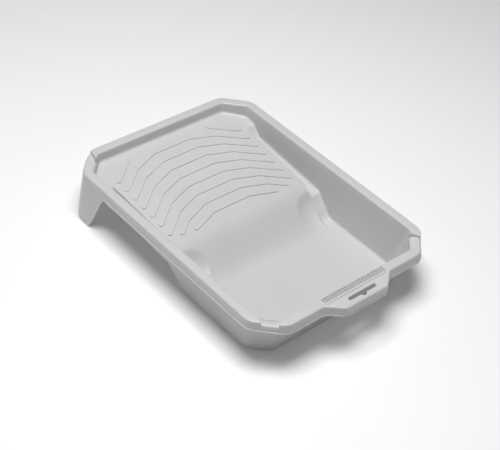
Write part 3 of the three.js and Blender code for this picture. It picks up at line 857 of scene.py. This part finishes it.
def join(parts):
    """One object made of several."""
    bpy.ops.object.select_all(action="DESELECT")
    for part in parts:
        part.select_set(True)
    bpy.context.view_layer.objects.active = parts[0]
    bpy.ops.object.join()
    return parts[0]


pitch = 2 * COMB_HALF_LENGTH / COMB_TEETH
half_slot = pitch / 4
slot_end = COMB_INNER_Y - COMB_SLOT_GAP
slots = []
for tooth in range(COMB_TEETH + 1):
    x = -COMB_HALF_LENGTH + tooth * pitch
    slots.append(block(
        "comb_slot", (x - half_slot, x + half_slot),
        (slot_end - COMB_SLOT_LENGTH, slot_end), (RIM_TOP - COMB_SLOT_DEPTH, CUTTER_TOP),
    ))
cut_with(pieces["brush_comb"], join(slots))
groove = block(
    "groove", (-COMB_HALF_LENGTH, COMB_HALF_LENGTH),
    (GROOVE_Y - GROOVE_HALF_WIDTH, GROOVE_Y + GROOVE_HALF_WIDTH), (RIM_TOP - GROOVE_DEPTH, CUTTER_TOP),
)
cut_with(pieces["handle_tab"], groove)


# ---- Ribs on the ramp -------------------------------------------------------------------------

RIB_COUNT = 8
RIB_PITCH = 17.15
RIB_WIDTH = 6.0
RIB_HEIGHT = 1.4
RIB_SUNK = 1.2
RIB_TOP_Y = MIDDLE_Y + 150.4
RIB_EDGE = 0.18
RIB_EDGE_STEPS = 3

# Each half of a rib bends at these (distance from the middle, drop towards the front).
RIB_BENDS = ((28.5, 0.0), (63.5, 12.5), (96.5, 37.5))

# The two lowest ribs are shorter, and end at these distances from the middle.
SHORT_RIB_ENDS = {7: 83.0, 8: 63.5}


def rib_line(top_y, end_x):
    """Middle line of an arched rib from left to right."""
    half = [(x, top_y - drop) for x, drop in RIB_BENDS if x < end_x]
    drop = np.interp(end_x, [b[0] for b in RIB_BENDS], [b[1] for b in RIB_BENDS])
    half.append((end_x, top_y - drop))
    line = [(-x, y) for x, y in reversed(half)] + half
    return [np.array([x, y + RIB_WIDTH / 2]) for x, y in line]


def band_round(line, width, end_steps=8):
    """Outline of a flat band with round ends that follows a line."""
    runs = [(b - a) / np.linalg.norm(b - a) for a, b in zip(line, line[1:])]
    across = [np.array([-r[1], r[0]]) for r in runs]
    upper = []
    lower = []
    for index in range(1, len(line) - 1):
        middle = across[index - 1] + across[index]
        mitre = middle / (middle @ middle) * width
        upper.append(line[index] + mitre)
        lower.append(line[index] - mitre)
    ends = []
    for point, sideways in ((line[-1], across[-1]), (line[0], -across[0])):
        start = math.atan2(sideways[1], sideways[0])
        angles = [start - math.pi * step / end_steps for step in range(end_steps + 1)]
        ends.append([point + width / 2 * np.array([math.cos(a), math.sin(a)]) for a in angles])
    return upper + ends[0] + lower[::-1] + ends[1]


def make_rib(name, line):
    """A raised band that is sunk a little into the ramp and follows its fall."""
    outline = [(x, y, -RIB_SUNK) for x, y in band_round(line, RIB_WIDTH)[::-1]]
    obj = new_mesh_object(f"{name}_moulded", outline, [tuple(range(len(outline)))])
    only(obj)
    bpy.ops.object.mode_set(mode="EDIT")
    bpy.ops.mesh.select_all(action="SELECT")
    bpy.ops.mesh.extrude_region_move(TRANSFORM_OT_translate={"value": (0, 0, (RIB_SUNK + RIB_HEIGHT) * MM)})
    bpy.ops.mesh.bevel(offset=RIB_EDGE * MM, segments=RIB_EDGE_STEPS)
    bpy.ops.mesh.select_all(action="SELECT")
    bpy.ops.mesh.normals_make_consistent(inside=False)
    bpy.ops.object.mode_set(mode="OBJECT")
    for vertex in obj.data.vertices:
        vertex.co.z += ramp_line(vertex.co.y / MM) * MM
    finish_piece(obj, name, [name])


for rib in range(1, RIB_COUNT + 1):
    end_x = SHORT_RIB_ENDS.get(rib, RIB_BENDS[-1][0])
    make_rib(f"ramp_rib_{rib}", rib_line(RIB_TOP_Y - (rib - 1) * RIB_PITCH, end_x))
back_line = rib_line(RIB_TOP_Y + RIB_PITCH, RIB_BENDS[-1][0])
make_rib("ramp_rib_stub_left", back_line[:2])
make_rib("ramp_rib_stub_right", back_line[-2:])


# ---- Camera, floor, light ---------------------------------------------------------------------

CAMERA_PLACE = (-0.83743, -0.83414, 1.03693)
CAMERA_VIEW = (0.53911, 0.53915, -0.64706)
CAMERA_ROLL = 6.951

camera_data = bpy.data.cameras.new("camera")
camera = bpy.data.objects.new("camera", camera_data)
bpy.context.scene.collection.objects.link(camera)
camera_data.sensor_width = 36
camera_data.lens = 92.32
camera_data.clip_end = 20
camera.location = CAMERA_PLACE
aim = Vector(CAMERA_VIEW).normalized().to_track_quat("-Z", "Y").to_matrix()
camera.rotation_euler = (aim @ Matrix.Rotation(math.radians(CAMERA_ROLL), 3, "Z")).to_euler()
bpy.context.scene.camera = camera

bpy.ops.object.select_all(action="DESELECT")
bpy.ops.mesh.primitive_plane_add(size=8, location=(0, 0, 0))
floor = bpy.context.active_object
floor.name = "floor"


def area_light(name, place, size, power):
    """A square light that faces the tray."""
    data = bpy.data.lights.new(name, "AREA")
    data.size = size
    data.energy = power
    light = bpy.data.objects.new(name, data)
    light.location = place
    light.rotation_euler = (-Vector(place)).to_track_quat("-Z", "Y").to_euler()
    bpy.context.scene.collection.objects.link(light)


area_light("overhead", (-0.2, -0.03, 1.4), 0.75, 22.3)
area_light("left_side", (-1.4, 1.1, 0.5), 0.8, 2.2)
area_light("front_side", (1.1, -1.4, 0.5), 0.8, 1.7)
bpy.context.scene.view_settings.view_transform = "Standard"
world = bpy.data.worlds.new("studio")
bpy.context.scene.world = world
world.use_nodes = True
backdrop = world.node_tree.nodes["Background"]
backdrop.inputs["Color"].default_value = (1, 1, 1, 1)
backdrop.inputs["Strength"].default_value = 0.07


# ---- Materials --------------------------------------------------------------------------------

def plastic_material():
    """Satin light grey polypropylene: faint clouds in the colour, uneven sheen, fine grain."""
    material = bpy.data.materials.new("tray_plastic_grey")
    material.use_nodes = True
    nodes = material.node_tree.nodes
    links = material.node_tree.links
    shader = nodes["Principled BSDF"]
    shader.inputs["IOR"].default_value = 1.49
    coords = nodes.new("ShaderNodeTexCoord")

    def noise(scale, detail):
        texture = nodes.new("ShaderNodeTexNoise")
        texture.inputs["Scale"].default_value = scale
        texture.inputs["Detail"].default_value = detail
        links.new(coords.outputs["Object"], texture.inputs["Vector"])
        return texture.outputs["Fac"]

    colour = nodes.new("ShaderNodeValToRGB")
    colour.color_ramp.elements[0].position = 0.3
    colour.color_ramp.elements[0].color = (0.52, 0.522, 0.52, 1)
    colour.color_ramp.elements[1].position = 0.7
    colour.color_ramp.elements[1].color = (0.555, 0.556, 0.553, 1)
    links.new(noise(7, 3), colour.inputs["Fac"])
    links.new(colour.outputs["Color"], shader.inputs["Base Color"])
    sheen = nodes.new("ShaderNodeMapRange")
    sheen.inputs["To Min"].default_value = 0.28
    sheen.inputs["To Max"].default_value = 0.4
    links.new(noise(28, 4), sheen.inputs["Value"])
    links.new(sheen.outputs["Result"], shader.inputs["Roughness"])
    grain = nodes.new("ShaderNodeBump")
    grain.inputs["Strength"].default_value = 0.12
    grain.inputs["Distance"].default_value = 0.0002
    links.new(noise(1400, 2), grain.inputs["Height"])
    waves = nodes.new("ShaderNodeBump")
    waves.inputs["Strength"].default_value = 0.125
    waves.inputs["Distance"].default_value = 0.001
    links.new(noise(30, 2), waves.inputs["Height"])
    links.new(grain.outputs["Normal"], waves.inputs["Normal"])
    links.new(waves.outputs["Normal"], shader.inputs["Normal"])
    return material


def floor_material():
    """Plain white paper that glows faintly, so that the shadow on it stays light."""
    material = bpy.data.materials.new("floor_paper")
    material.use_nodes = True
    shader = material.node_tree.nodes["Principled BSDF"]
    shader.inputs["Base Color"].default_value = (0.82, 0.82, 0.82, 1)
    shader.inputs["Emission Color"].default_value = (1, 1, 1, 1)
    shader.inputs["Emission Strength"].default_value = 0.1
    return material


plastic = plastic_material()
for obj in (*pieces.values(), *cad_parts.values()):
    obj.data.materials.clear()
    obj.data.materials.append(plastic)
floor.data.materials.append(floor_material())

bpy.context.view_layer.update()
